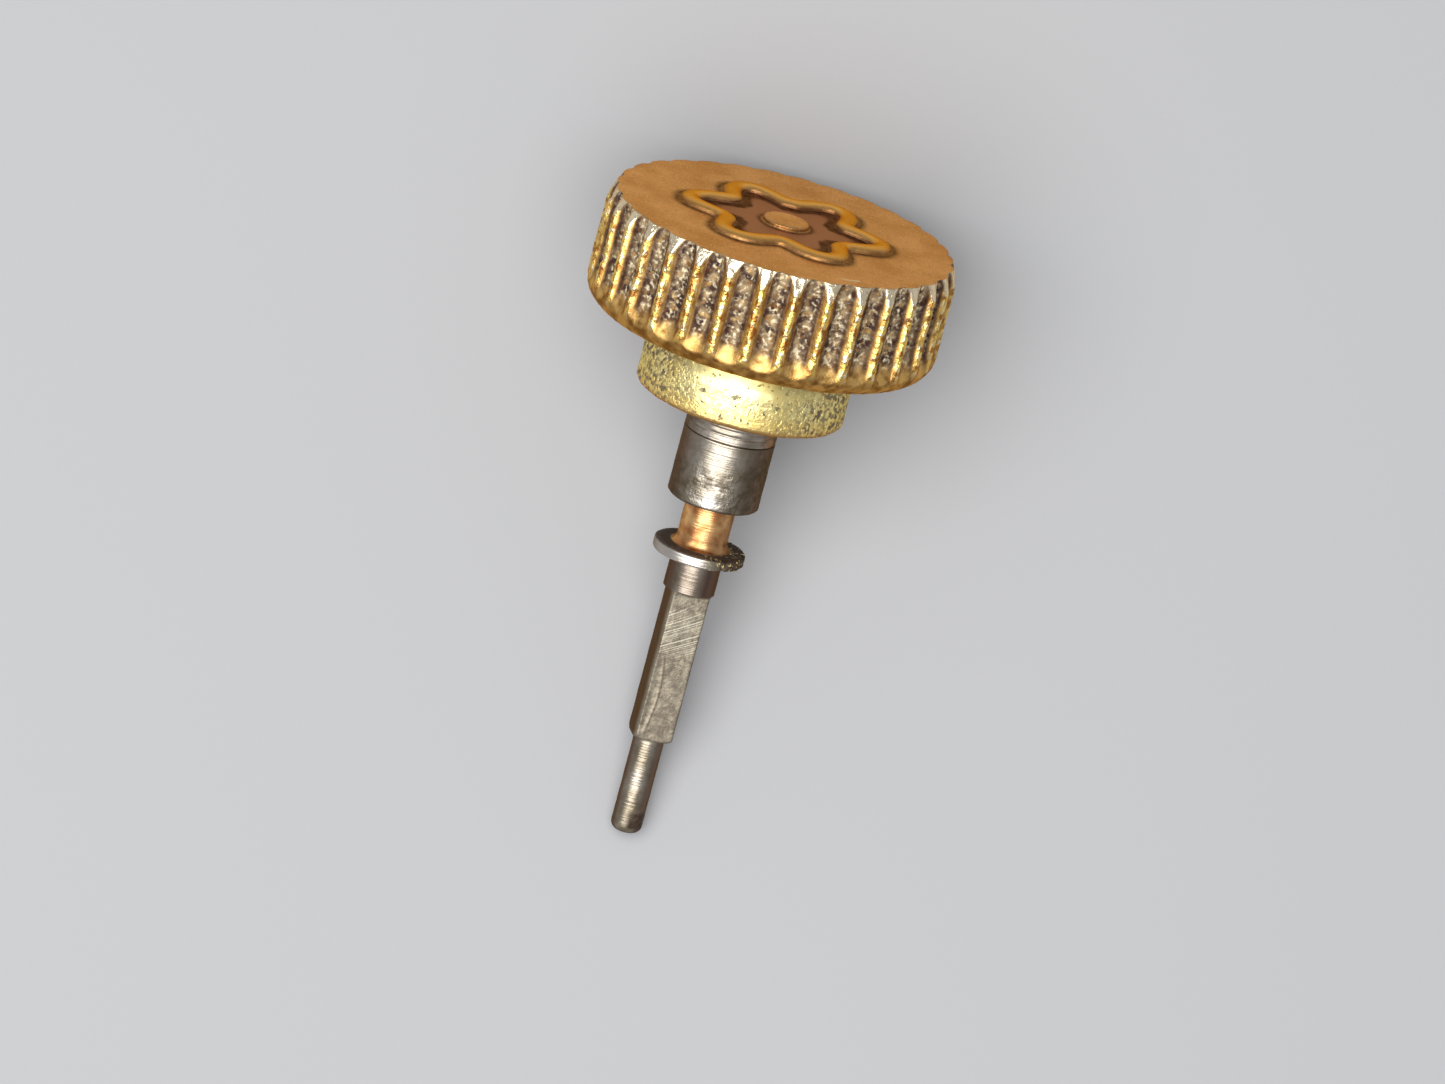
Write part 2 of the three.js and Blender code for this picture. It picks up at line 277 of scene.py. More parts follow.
class Paint:
    """A Principled material and the few nodes that the pieces' finishes are made of."""

    def __init__(self, name, metallic, roughness, edge_tint=None):
        self.material = bpy.data.materials.new(name)
        self.material.use_nodes = True
        self.tree = self.material.node_tree
        self.shader = self.tree.nodes["Principled BSDF"]
        self.shader.inputs["Metallic"].default_value = metallic
        self.shader.inputs["Roughness"].default_value = roughness
        self.shader.inputs["Specular IOR Level"].default_value = NON_METAL_GLOSS
        if edge_tint:
            self.shader.inputs["Specular Tint"].default_value = (*edge_tint, 1)
        here = self.tree.nodes.new("ShaderNodeTexCoord").outputs["Object"]
        made = self.node("VectorMath", operation="SCALE")
        self.feed(made.inputs[0], here)
        made.inputs["Scale"].default_value = 1 / MM
        self.millimetres = made.outputs[0]

    def node(self, kind, **settings):
        made = self.tree.nodes.new("ShaderNode" + kind)
        for key, value in settings.items():
            setattr(made, key, value)
        return made

    def feed(self, socket, value):
        if isinstance(value, bpy.types.NodeSocket):
            self.tree.links.new(value, socket)
        else:
            socket.default_value = value

    def attribute(self, name):
        return self.node("Attribute", attribute_name=name).outputs["Fac"]

    def noise(self, size, detail=4.0):
        made = self.node("TexNoise")
        self.feed(made.inputs["Vector"], self.millimetres)
        made.inputs["Scale"].default_value = 1 / size
        made.inputs["Detail"].default_value = detail
        return made.outputs["Fac"]

    def lines(self, value, size, detail=3.0):
        """Noise along one number only, such as the lines that a lathe leaves along its axis."""
        made = self.node("TexNoise", noise_dimensions="1D")
        self.feed(made.inputs["W"], value)
        made.inputs["Scale"].default_value = 1 / size
        made.inputs["Detail"].default_value = detail
        return made.outputs["Fac"]

    def math(self, operation, a, b=0.0):
        made = self.node("Math", operation=operation, use_clamp=True)
        self.feed(made.inputs[0], a)
        self.feed(made.inputs[1], b)
        return made.outputs[0]

    def both(self, a, b):
        return self.math("MULTIPLY", a, b)

    def either(self, a, b):
        return self.math("ADD", a, b)

    def without(self, a):
        return self.math("SUBTRACT", 1.0, a)

    def ramp(self, factor, stops):
        """A number that follows (position, value) stops."""
        made = self.node("ValToRGB")
        self.feed(made.inputs["Fac"], factor)
        elements = made.color_ramp.elements
        while len(elements) < len(stops):
            elements.new(0.5)
        for element, (position, value) in zip(elements, stops):
            element.position = position
            element.color = (value, value, value, 1)
        return made.outputs["Color"]

    def patches(self, size, low, high, detail=4.0):
        """0 to 1 in irregular patches of about that size: 1 where the noise is above high."""
        return self.ramp(self.noise(size, detail), [(low, 0.0), (high, 1.0)])

    def mix(self, factor, a, b):
        made = self.node("Mix", data_type="RGBA")
        self.feed(made.inputs["Factor"], factor)
        for socket, value in ((made.inputs[6], a), (made.inputs[7], b)):
            self.feed(socket, (*value, 1) if isinstance(value, tuple) else value)
        return made.outputs[2]

    def blend(self, factor, a, b):
        """A number between a and b."""
        made = self.node("MapRange", clamp=True)
        self.feed(made.inputs["Value"], factor)
        self.feed(made.inputs["To Min"], a)
        self.feed(made.inputs["To Max"], b)
        return made.outputs["Result"]

    def bump(self, height, depth, under=None):
        """Raises the surface by up to depth millimetres where height is 1."""
        made = self.node("Bump")
        made.inputs["Strength"].default_value = 1.0
        made.inputs["Distance"].default_value = depth * MM
        self.feed(made.inputs["Height"], height)
        if under is not None:
            self.feed(made.inputs["Normal"], under)
        return made.outputs["Normal"]

    def finish(self, **inputs):
        for key, value in inputs.items():
            self.feed(self.shader.inputs[key.replace("_", " ")], value)
        return self.material


# ---------------------------------------------------------------- finishes


def satin_gold(paint, face, brushing, grain):
    """Brown satin with brushing, dull spots and bright grains, warm on the ridge and darker on the rim."""
    brushed = paint.both(paint.ramp(brushing, [(0.42, 0.0), (0.75, 0.45)]), face)
    dull_spots = paint.both(paint.patches(0.04, 0.52, 0.7, 3), 0.45)
    bright_grains = paint.both(paint.ramp(grain, [(0.58, 0.0), (0.7, 0.9)]), face)
    satin = paint.mix(paint.patches(0.6, 0.35, 0.65), (0.76, 0.37, 0.115), (0.98, 0.54, 0.2))
    satin = paint.mix(brushed, satin, (0.55, 0.26, 0.085))
    satin = paint.mix(dull_spots, satin, (0.42, 0.19, 0.065))
    satin = paint.mix(bright_grains, satin, (1.0, 0.72, 0.3))
    satin = paint.mix(paint.attribute("inside"), satin, (0.46, 0.22, 0.115))
    satin = paint.mix(paint.attribute("ridge"), satin, (0.97, 0.52, 0.14))
    rim = paint.mix(paint.patches(0.22, 0.4, 0.62), (0.25, 0.115, 0.03), (0.6, 0.34, 0.1))
    return paint.mix(paint.without(face), satin, rim)


def crest_gold(paint):
    """Polished gold, with painted highlights in pale patches, and worn brown in other patches."""
    # Painted highlight: pale patches on the crests.
    crest = paint.mix(paint.patches(0.09, 0.5, 0.66), (1.0, 0.68, 0.18), (1.0, 0.9, 0.62))
    return paint.mix(paint.patches(0.13, 0.5, 0.6), crest, (0.5, 0.22, 0.055))


def dirt_in_flutes(paint, flute):
    """Where dirt lies in the flutes, and its speckled colour."""
    cleaner = paint.both(paint.patches(0.55, 0.42, 0.62), 0.45)
    bare = paint.both(paint.patches(0.1, 0.54, 0.64), paint.either(cleaner, 0.4))
    dirt = paint.mix(paint.patches(0.17, 0.36, 0.6), (0.33, 0.235, 0.13), (0.05, 0.028, 0.024))
    dirt = paint.mix(paint.patches(0.06, 0.5, 0.74, 2), dirt, (0.9, 0.78, 0.53))
    return paint.both(flute, paint.without(bare)), dirt


def gold_shell_finish():
    """Gold-coloured shell: satin face, tarnish and painted shade round the relief, bright crests with painted
    highlights, painted highlights on the pads, a painted glint on a nick, and dirty flutes with painted shade
    on their walls.
    """
    paint = Paint("gold_shell", 1.0, 0.35)
    face, flute, flute_wall_shade_and_dirt = paint.attribute("face"), paint.attribute("flute"), paint.attribute("flute_wall_shade_and_dirt")
    polish, painted_highlight_pads, ridge = paint.attribute("polish"), paint.attribute("painted_highlight_pads"), paint.attribute("ridge")
    brushing = paint.lines(paint.attribute("brushed"), 0.02, 5)
    grain = paint.noise(0.03, 3)

    colour = paint.mix(polish, satin_gold(paint, face, brushing, grain), crest_gold(paint))
    # Painted highlight: the pads under the top bevel are pale cream.
    colour = paint.mix(painted_highlight_pads, colour, (1.0, 0.86, 0.6))
    low_pads = paint.both(paint.attribute("low_pads"), paint.patches(0.16, 0.4, 0.56))
    colour = paint.mix(low_pads, colour, (0.76, 0.48, 0.16))
    flute_dirt, dirt = dirt_in_flutes(paint, flute)
    colour = paint.mix(flute_dirt, colour, dirt)
    # Dirt and painted shade: the flute walls are near black.
    wall_dirt_and_painted_shade = paint.both(flute_wall_shade_and_dirt, paint.ramp(paint.noise(0.14, 4), [(0.35, 1.0), (0.75, 0.6)]))
    colour = paint.mix(wall_dirt_and_painted_shade, colour, (0.03, 0.01, 0.01))
    uneven = paint.ramp(paint.noise(0.1, 4), [(0.25, 1.0), (0.8, 0.55)])
    # Tarnish and painted shade: dark at the foot of the relief and of the boss.
    tarnish_and_shade = paint.both(paint.attribute("tarnish_and_shade"), uneven)
    colour = paint.mix(tarnish_and_shade, colour, (0.035, 0.012, 0.008))
    # Painted highlight: a bright glint for a nick near the face's edge.
    colour = paint.mix(paint.attribute("painted_glint_nick"), colour, (1.0, 0.85, 0.5))

    dull = paint.either(flute_dirt, wall_dirt_and_painted_shade)
    metallic = paint.blend(dull, 1.0, 0.1)
    roughness = paint.blend(paint.either(polish, painted_highlight_pads), 0.42, 0.24)
    roughness = paint.blend(ridge, roughness, 0.25)
    roughness = paint.blend(paint.either(dull, tarnish_and_shade), roughness, 0.55)
    normal = paint.bump(paint.both(brushing, face), 0.002)
    normal = paint.bump(grain, 0.006, normal)
    normal = paint.bump(paint.both(paint.noise(0.09, 3), paint.either(flute, polish)), 0.03, normal)
    tint = paint.mix(ridge, (0.9, 0.62, 0.4), (0.85, 0.42, 0.15))
    return paint.finish(
        Base_Color=colour, Metallic=metallic, Roughness=roughness, Normal=normal, Specular_Tint=tint
    )


def brass_core_finish():
    """Pale bright brass with painted olive shade under the head, pitted at its ends and browned along its
    lower rim.
    """
    paint = Paint("core_brass", 1.0, 0.3, edge_tint=(0.9, 0.8, 0.5))
    pitted, rim, shade = paint.attribute("pitted"), paint.attribute("rim"), paint.attribute("shade")
    brass = paint.mix(paint.patches(0.45, 0.35, 0.65), (0.98, 0.76, 0.26), (1.0, 0.87, 0.4))
    brass = paint.mix(paint.attribute("warm"), brass, (1.0, 0.74, 0.24))
    brass = paint.mix(paint.both(paint.patches(0.3, 0.55, 0.68), 0.45), brass, (0.62, 0.45, 0.18))
    clumps = paint.ramp(paint.noise(0.3, 3), [(0.36, 0.5), (0.55, 1.0)])
    pit = paint.both(paint.patches(0.075, 0.43, 0.57, 5), paint.both(pitted, clumps))
    chip = paint.both(paint.patches(0.09, 0.64, 0.68, 3), paint.without(shade))
    holes = paint.either(pit, paint.both(chip, 0.8))
    colour = paint.mix(holes, brass, (0.25, 0.2, 0.14))
    # Painted shade: olive under the head.
    colour = paint.mix(shade, colour, (0.36, 0.26, 0.08))
    colour = paint.mix(rim, colour, (0.4, 0.15, 0.035))
    roughness = paint.blend(holes, 0.36, 0.6)
    normal = paint.bump(paint.lines(paint.attribute("along"), 0.02), 0.0015)
    normal = paint.bump(paint.without(holes), 0.016, normal)
    normal = paint.bump(paint.both(paint.noise(0.07, 3), pitted), 0.015, normal)
    return paint.finish(Base_Color=colour, Roughness=roughness, Normal=normal)


def steel_finish(name, clean, stain_and_shade):
    """Turned steel: lathe lines, brown stain with painted shade on the flanks, dark mottling partly placed as
    painted shade, filed flats, rust, painted highlights and grime with painted shade, where the mesh says so.
    """
    paint = Paint(name, 1.0, 0.35, edge_tint=(0.5, 0.42, 0.33))
    mottling_and_shade, grime_and_shade, filed = paint.attribute("mottling_and_shade"), paint.attribute("grime_and_shade"), paint.attribute("filed")
    steel = paint.mix(paint.patches(0.35, 0.4, 0.65), clean, stain_and_shade)
    steel = paint.mix(paint.both(paint.patches(0.06, 0.45, 0.7), 0.4), steel, (0.22, 0.17, 0.12))
    # Painted shade on the flanks of the turned pieces, and a darker seat.
    steel = paint.mix(paint.attribute("stain_and_shade"), steel, (0.15, 0.095, 0.07))
    rust = paint.mix(paint.patches(0.2, 0.36, 0.64), (0.5, 0.19, 0.06), (0.9, 0.52, 0.22))
    steel = paint.mix(paint.attribute("rust"), steel, rust)

    marks = paint.both(paint.lines(paint.attribute("file_line"), 0.045), paint.attribute("scratched"))
    matt = paint.mix(paint.patches(0.13, 0.4, 0.62), (0.38, 0.33, 0.245), (0.22, 0.185, 0.14))
    matt = paint.mix(paint.both(paint.patches(0.045, 0.5, 0.66, 3), 0.6), matt, (0.16, 0.13, 0.1))
    matt = paint.mix(paint.ramp(marks, [(0.48, 0.0), (0.6, 0.75)]), matt, (0.62, 0.57, 0.45))
    steel = paint.mix(filed, steel, matt)

    # Dark spots: mottling, and painted shade where they sit on right sides and flanks.
    spots = paint.both(paint.patches(0.13, 0.4, 0.62, 6), mottling_and_shade)
    steel = paint.mix(paint.both(spots, 0.85), steel, (0.1, 0.08, 0.05))
    # Painted highlight: pale grey-white on the hub's lower edge and on the flange rim's left side.
    steel = paint.mix(paint.attribute("highlight_paint"), steel, (0.75, 0.71, 0.66))
    # Dark grime, with painted shade where it lies just under the collar.
    dirt = paint.both(grime_and_shade, paint.ramp(paint.noise(0.07, 4), [(0.3, 1.0), (0.8, 0.7)]))
    steel = paint.mix(dirt, steel, (0.035, 0.02, 0.012))
    gold_speck = paint.both(paint.patches(0.05, 0.6, 0.66, 2), paint.attribute("specks"))
    colour = paint.mix(gold_speck, steel, (0.95, 0.75, 0.3))

    metallic = paint.blend(paint.either(dirt, paint.both(filed, 0.4)), 1.0, 0.2)
    roughness = paint.blend(paint.either(paint.either(spots, dirt), filed), 0.32, 0.52)
    turned = paint.both(paint.lines(paint.attribute("along"), 0.035), paint.without(filed))
    normal = paint.bump(turned, 0.004)
    normal = paint.bump(marks, 0.01, normal)
    normal = paint.bump(paint.both(paint.noise(0.06, 4), paint.either(spots, filed)), 0.012, normal)
    return paint.finish(Base_Color=colour, Metallic=metallic, Roughness=roughness, Normal=normal)


def rubber_finish():
    paint = Paint("seal_rubber", 0.0, 0.6)
    colour = paint.mix(paint.patches(0.08, 0.45, 0.75), (0.012, 0.012, 0.012), (0.05, 0.047, 0.042))
    return paint.finish(Base_Color=colour, Normal=paint.bump(paint.noise(0.03, 3), 0.004))


# ---------------------------------------------------------------- crown cap


def follow_flower(angle, blank):
    """Moves the rows near the relief onto the flower's outline, at an even distance from it, and leaves the
    boss and the outer face round."""
    outline = FLOWER_RADIUS + LOBE_SWELL * np.cos(LOBES * angle)
    slope = LOBE_SWELL * LOBES * np.sin(LOBES * angle) / outline
    from_ridge = blank - FLOWER_RADIUS
    even_reach = 0.25
    stretch = np.clip(from_ridge, -even_reach, even_reach) * (np.sqrt(1 + slope**2) - 1)
    # Full within 0.2 mm of the ridge's middle, and gone at the boss and near the face's edge.
    near = step(from_ridge, -0.86, -0.2) * (1 - step(from_ridge, 0.2, 1.1))
    return blank + near * (outline - FLOWER_RADIUS + stretch)


def flute_share(angle):
    """0 on a crest and 1 in the middle of a flute."""
    pitches = (angle - CREST_TURN) * TEETH / (2 * math.pi)
    return 2 * np.abs(pitches - np.round(pitches))


def flute_floor(share, height):
    """Radius of the flutes' floor, which rises towards the head's lower rim."""
    across = np.clip((1 - share) / (1 - CREST_SHARE), 0, 1)
    deepening = step(height, HEAD_START + 0.1, HEAD_START + 0.75)
    depth = FLUTE_DEPTH * (LOW_FLUTE_SHARE + (1 - LOW_FLUTE_SHARE) * deepening)
    return HEAD_RADIUS - depth * (1 - across**2)


def cap_inside():
    """The rows of the cap's profile that the core hides."""
    inside = CORE_RADIUS + GAP
    return [
        (0, FACE - CAP_WALL),
        (inside, FACE - CAP_WALL),
        (inside, HEAD_START + CAP_WALL + CORE_BEVEL),
        (inside - CORE_BEVEL, HEAD_START + CAP_WALL),
        (LIP_RADIUS, HEAD_START + CAP_WALL),
        (LIP_RADIUS, HEAD_START + GAP),
    ]


def cap_rows():
    """The cap's profile, from inside, round the lip and the side, and over the face with its relief."""
    side_low, side_high = HEAD_START + HEAD_LOWER_EDGE, FACE - TOP_BEVEL
    rise = np.linspace(0, 1, 12, endpoint=False)
    bevel = np.stack([HEAD_RADIUS - BEVEL_DEPTH * rise**BEVEL_POWER, side_high + TOP_BEVEL * rise], 1)
    ridge_out, ridge_in = FLOWER_RADIUS + RIDGE_HALF_WIDTH, FLOWER_RADIUS - RIDGE_HALF_WIDTH
    wall_top = FACE + 0.016
    boss_top, boss_edge = FACE + BOSS_HEIGHT, 0.06
    return profile(
        cap_inside(),
        line((LIP_RADIUS + GAP, HEAD_START), (HEAD_RADIUS - HEAD_LOWER_EDGE, HEAD_START), 0.1),
        arc((HEAD_RADIUS - HEAD_LOWER_EDGE, side_low), (HEAD_LOWER_EDGE, HEAD_LOWER_EDGE), -90, 0, 0.045),
        line((HEAD_RADIUS, side_low), (HEAD_RADIUS, side_high), 0.045),
        bevel,
        (FACE_RADIUS, FACE - 0.006),
        line((FACE_RADIUS - 0.008, FACE), (ridge_out + 0.01, FACE), 0.055),
        line((ridge_out + 0.01, FACE), (ridge_out, FACE + 0.004), 0.02),
        (ridge_out, FACE + 0.01),
        arc((FLOWER_RADIUS, wall_top), (RIDGE_HALF_WIDTH, FACE + RELIEF_HEIGHT - wall_top), 0, 180, 0.02),
        line((ridge_in, wall_top), (ridge_in, FACE + 0.006), 0.006),
        line((ridge_in, FACE + 0.004), (ridge_in - 0.01, FACE), 0.02),
        line((ridge_in - 0.01, FACE), (BOSS_RADIUS + 0.01, FACE), 0.05),
        line((BOSS_RADIUS, FACE + 0.004), (BOSS_RADIUS, FACE + 0.04), 0.012),
        arc((BOSS_RADIUS - boss_edge, FACE + 0.04), (boss_edge, 0.04), 0, 90, 0.012),
        line((BOSS_RADIUS - boss_edge, boss_top), (0, boss_top), 0.06),
        (0, boss_top),
    )


def cap_radius(angle, blank, height, side, on_face):
    """The cap's radius with flutes in its side, scallops round its edge and the flower on its face."""
    limit = flute_floor(flute_share(angle), height)
    scallop = smooth_min(FACE_RADIUS, limit, CREST_ROUNDING) - FACE_RADIUS
    scallop = scallop * step(blank, SCALLOP_START, FACE_RADIUS)
    radius = np.where(side, smooth_min(blank, limit, CREST_ROUNDING), blank)
    return np.where(on_face, follow_flower(angle, blank) + scallop, radius)


def face_masks(angle, blank, on_face):
    """Where the finish changes on the face: inside the flower, on its ridge, at its foot, where tarnish and
    painted shade darken it, and at a nick that carries a painted glint.
    """
    from_ridge = blank - FLOWER_RADIUS
    outer_foot = bell(from_ridge - RIDGE_HALF_WIDTH - 0.05, 0.075)
    inner_foot = between(from_ridge, -RIDGE_HALF_WIDTH - 0.24, -RIDGE_HALF_WIDTH + 0.012, 0.06)
    boss_foot = bell(blank - BOSS_RADIUS - 0.04, 0.05)
    scratch_side = side_angle(angle, UPPERMOST + 0.52)
    ridge_edge = RIDGE_HALF_WIDTH - 0.02
    return {
        "face": on_face * 1.0,
        "inside": on_face * between(blank, BOSS_RADIUS + 0.02, FLOWER_RADIUS - RIDGE_HALF_WIDTH, 0.02),
        # Tarnish and painted shade round the foot of the relief and the boss.
        "tarnish_and_shade": on_face * np.maximum(np.maximum(outer_foot, inner_foot), boss_foot),
        "ridge": on_face * between(from_ridge, -ridge_edge, ridge_edge, 0.02),
        # Painted glint of a nick near the face's edge.
        "painted_glint_nick": on_face * bell(blank - 2.36, 0.02) * between(scratch_side, -0.06, 0.07, 0.01),
    }


def side_masks(angle, blank, height, side, crest):
    """Where the finish changes on the side: in the flutes, on their walls, where dirt and painted shade go,
    on the crests, and on the pads, where a highlight is painted.
    """
    share = flute_share(angle)
    cut = np.clip((blank - flute_floor(share, height)) / 0.03, 0, 1) * side
    in_flute = cut * step(share, 0.38, 0.56)
    pads_start = FACE - TOP_BEVEL
    low_pads = between(height, HEAD_START + 0.14, HEAD_START + 0.5, 0.08) * step(share, 0.25, 0.6)
    return {
        "flute": in_flute * step(height, HEAD_START + 0.38, HEAD_START + 0.62),
        # Dirt and painted shade on the flute walls.
        "flute_wall_shade_and_dirt": cut * bell(share - 0.52, 0.16) * step(height, HEAD_START + 0.26, HEAD_START + 0.55),
        "polish": crest * step(height, HEAD_START + 0.2, HEAD_START + 0.45),
        # Painted highlight on the pads under the top bevel.
        "painted_highlight_pads": side * (1 - cut) * step(height, pads_start - 0.02, pads_start + 0.06),
        "low_pads": cut * low_pads,
    }


def crown_cap():
    rows = cap_rows()
    angle, blank, height = spread(rows, TEETH * COLUMNS_PER_TOOTH, CREST_TURN)
    row = np.arange(len(rows))[:, None]
    outside = row >= len(cap_inside())
    on_face = np.broadcast_to(row > np.argmax(rows[:, 1] >= FACE - 0.01), angle.shape)
    side = outside & (blank > HEAD_RADIUS - HEAD_LOWER_EDGE) & ~on_face
    points = place(angle, cap_radius(angle, blank, height, side, on_face), height)

    crest = (1 - step(flute_share(angle), 0.22, 0.4)) * side
    worn = 0.004 * rough(points, 0.5, 1) + 0.014 * rough(points, 0.14, 2) * side
    nicks = 0.035 * step(rough(points, 0.16, 3), 0.6, 0.85) * crest
    points = sunk(points, (worn + nicks) * outside * step(blank, 0.0, 0.1))

    attributes = face_masks(angle, blank, on_face)
    attributes.update(side_masks(angle, blank, height, side, crest))
    attributes["brushed"] = points[..., 1] + 0.03 * np.sin(points[..., 0])
    piece = skin("crown_cap_shell", points, attributes=attributes)
    settle(piece, gold_shell_finish(), "crown", "crown_cap")


# ---------------------------------------------------------------- crown core with its collar


def core_rows():
    """The core's profile, from the post's hole through the seal's pocket, round the collar and the lip."""
    edge = COLLAR_EDGE
    core_start = HEAD_START + CAP_WALL + GAP
    core_end = FACE - CAP_WALL - GAP
    return profile(
        (0, POST_END + GAP),
        (POST_RADIUS + GAP, POST_END + GAP),
        (POST_RADIUS + GAP, POCKET_END),
        (POCKET_RADIUS, POCKET_END),
        (POCKET_RADIUS, POCKET_START),
        (COLLAR_MOUTH_RADIUS, POCKET_START),
        line((COLLAR_MOUTH_RADIUS, POCKET_START - 0.01), (COLLAR_MOUTH_RADIUS, COLLAR_START + 0.03), 0.1),
        line((COLLAR_MOUTH_RADIUS, COLLAR_START + 0.03), (COLLAR_MOUTH_RADIUS + 0.03, COLLAR_START), 0.02),
        line((COLLAR_MOUTH_RADIUS + 0.03, COLLAR_START), (COLLAR_RADIUS - edge, COLLAR_START), 0.04),
        arc((COLLAR_RADIUS - edge, COLLAR_START + edge), (edge, edge), -90, 0, 0.02),
        line((COLLAR_RADIUS, COLLAR_START + edge), (COLLAR_RADIUS, HEAD_START), 0.025),
        line((COLLAR_RADIUS, HEAD_START), (LIP_RADIUS - GAP, HEAD_START), 0.05),
        (LIP_RADIUS - GAP, core_start),
        (CORE_RADIUS - CORE_BEVEL, core_start),
        (CORE_RADIUS, core_start + CORE_BEVEL),
        (CORE_RADIUS, core_end),
        (0, core_end),
    )


def crown_core():
    angle, radius, height = spread(core_rows(), 384)
    points = place(angle, radius, height)
    on_collar = (radius > COLLAR_MOUTH_RADIUS + 0.05) & (radius < COLLAR_RADIUS + 0.01)
    outside = on_collar & (height < HEAD_START - 0.01)
    turn = side_angle(angle, UPPERMOST)
    ends = step(np.abs(turn), 0.35, 0.95)
    waist = 0.02 * step(height, COLLAR_START + 0.55, COLLAR_START + 0.7)
    lumps = 0.02 * rough(points, 0.3, 5) * (0.3 + 0.7 * ends)
    dents = 0.014 * step(rough(points, 0.1, 6), 0.58, 0.75) * ends
    points = sunk(points, (waist + lumps + dents) * outside)
    low = 1 - step(height, COLLAR_START + 0.35, COLLAR_START + 0.75)
    attributes = {
        "pitted": np.clip(0.9 * ends + 0.28 * low, 0, 1) * outside,
        "rim": bell(height - COLLAR_START, 0.075) * outside,
        "warm": 0.8 * between(height, COLLAR_START + 0.06, COLLAR_START + 0.27, 0.05) * outside,
        # Painted shade on the collar just under the head.
        "shade": 0.85 * step(height, HEAD_START - 0.42, HEAD_START - 0.12) * (radius < LIP_RADIUS),
        "along": height,
    }
    piece = skin("crown_core_body", points, attributes=attributes)
    settle(piece, brass_core_finish(), "crown", "crown_core")


# ---------------------------------------------------------------- threads


def thread_radius(angle, height, crest, root):
    """Radius of a right-handed 60 degree thread that has its crest at angle 0 and the hub's end."""
    turns = (height - HUB_END) / THREAD_PITCH - angle / (2 * math.pi)
    from_crest = np.abs(turns - np.round(turns)) * THREAD_PITCH
    flank = crest - (from_crest - THREAD_PITCH / 16) / math.tan(math.radians(30))
    return np.clip(flank, root, crest)


# ---------------------------------------------------------------- crown post


def post_rows(bore_crest, bore_root):
    """The post's profile, from the end of its bore, round its lower end and up its outside. It comes down
    closer to the hub than in the CAD, so that only a hairline shows between them."""
    chamfer = 0.012
    start = HUB_END + HAIRLINE
    shown_end = COLLAR_START + 0.3
    return profile(
        (0, POST_BORE_END),
        line((bore_root, POST_BORE_END), (bore_root, start + THREAD_DEPTH), 0.019),
        line((bore_root, start + THREAD_DEPTH), (bore_crest, start), 0.019),
        line((bore_crest, start), (POST_RADIUS - chamfer, start), 0.04),
        line((POST_RADIUS - chamfer, start), (POST_RADIUS, start + chamfer), 0.006),
        line((POST_RADIUS, start + chamfer), (POST_RADIUS, shown_end), 0.012),
        line((POST_RADIUS, shown_end), (POST_RADIUS, POST_END), 0.2),
        (POST_RADIUS, POST_END),
        (0, POST_END),
    )


def crown_post():
    bore_crest = THREAD_RADIUS + THREAD_CLEARANCE
    bore_root = bore_crest - THREAD_DEPTH
    angle, radius, height = spread(post_rows(bore_crest, bore_root), 192)
    in_bore = (radius > NEARLY) & (radius < bore_crest + NEARLY) & (height < POST_BORE_END - 0.05)
    cut = thread_radius(angle, height, bore_crest, bore_root)
    radius = np.where(in_bore, np.maximum(radius, cut), radius)
    points = place(angle, radius, height)
    outside = (radius > POST_RADIUS - NEARLY) * 1.0
    turn = side_angle(angle, UPPERMOST)
    lower_groove = 0.014 * bell(height - POST_START - 0.11, 0.02)
    upper_groove = 0.01 * bell(height - POST_START - 0.2, 0.02)
    points = sunk(points, (lower_groove + upper_groove + 0.006 * rough(points, 0.2, 8)) * outside)
    # Painted shade: the post is darker just under the collar.
    shade_under_collar = step(height, COLLAR_START - 0.14, COLLAR_START) * outside
    attributes = {
        "grime_and_shade": np.clip(0.5 * in_bore + 0.55 * shade_under_collar, 0, 1),
        # Painted shade: the post's flanks get the darker brown and the dark spots.
        "stain_and_shade": 0.75 * step(np.abs(turn), 0.55, 1.1) * outside,
        "rust": 0.35 * bell(turn - 1.15, 0.25) * outside,
        "mottling_and_shade": 0.5 * step(np.abs(turn), 0.5, 1.0) * outside,
        "along": height,
    }
    piece = skin("crown_post_tube", points, attributes=attributes)
    steel = steel_finish("post_steel", (0.51, 0.455, 0.385), (0.34, 0.285, 0.22))
    settle(piece, steel, "crown", "crown_post")


# ---------------------------------------------------------------- winding stem


def flat_side(angle):
    """Angle from the middle of the nearest flat of the square."""
    quarter = math.pi / 2
    return (angle - SQUARE_TURN + quarter / 2) % quarter - quarter / 2


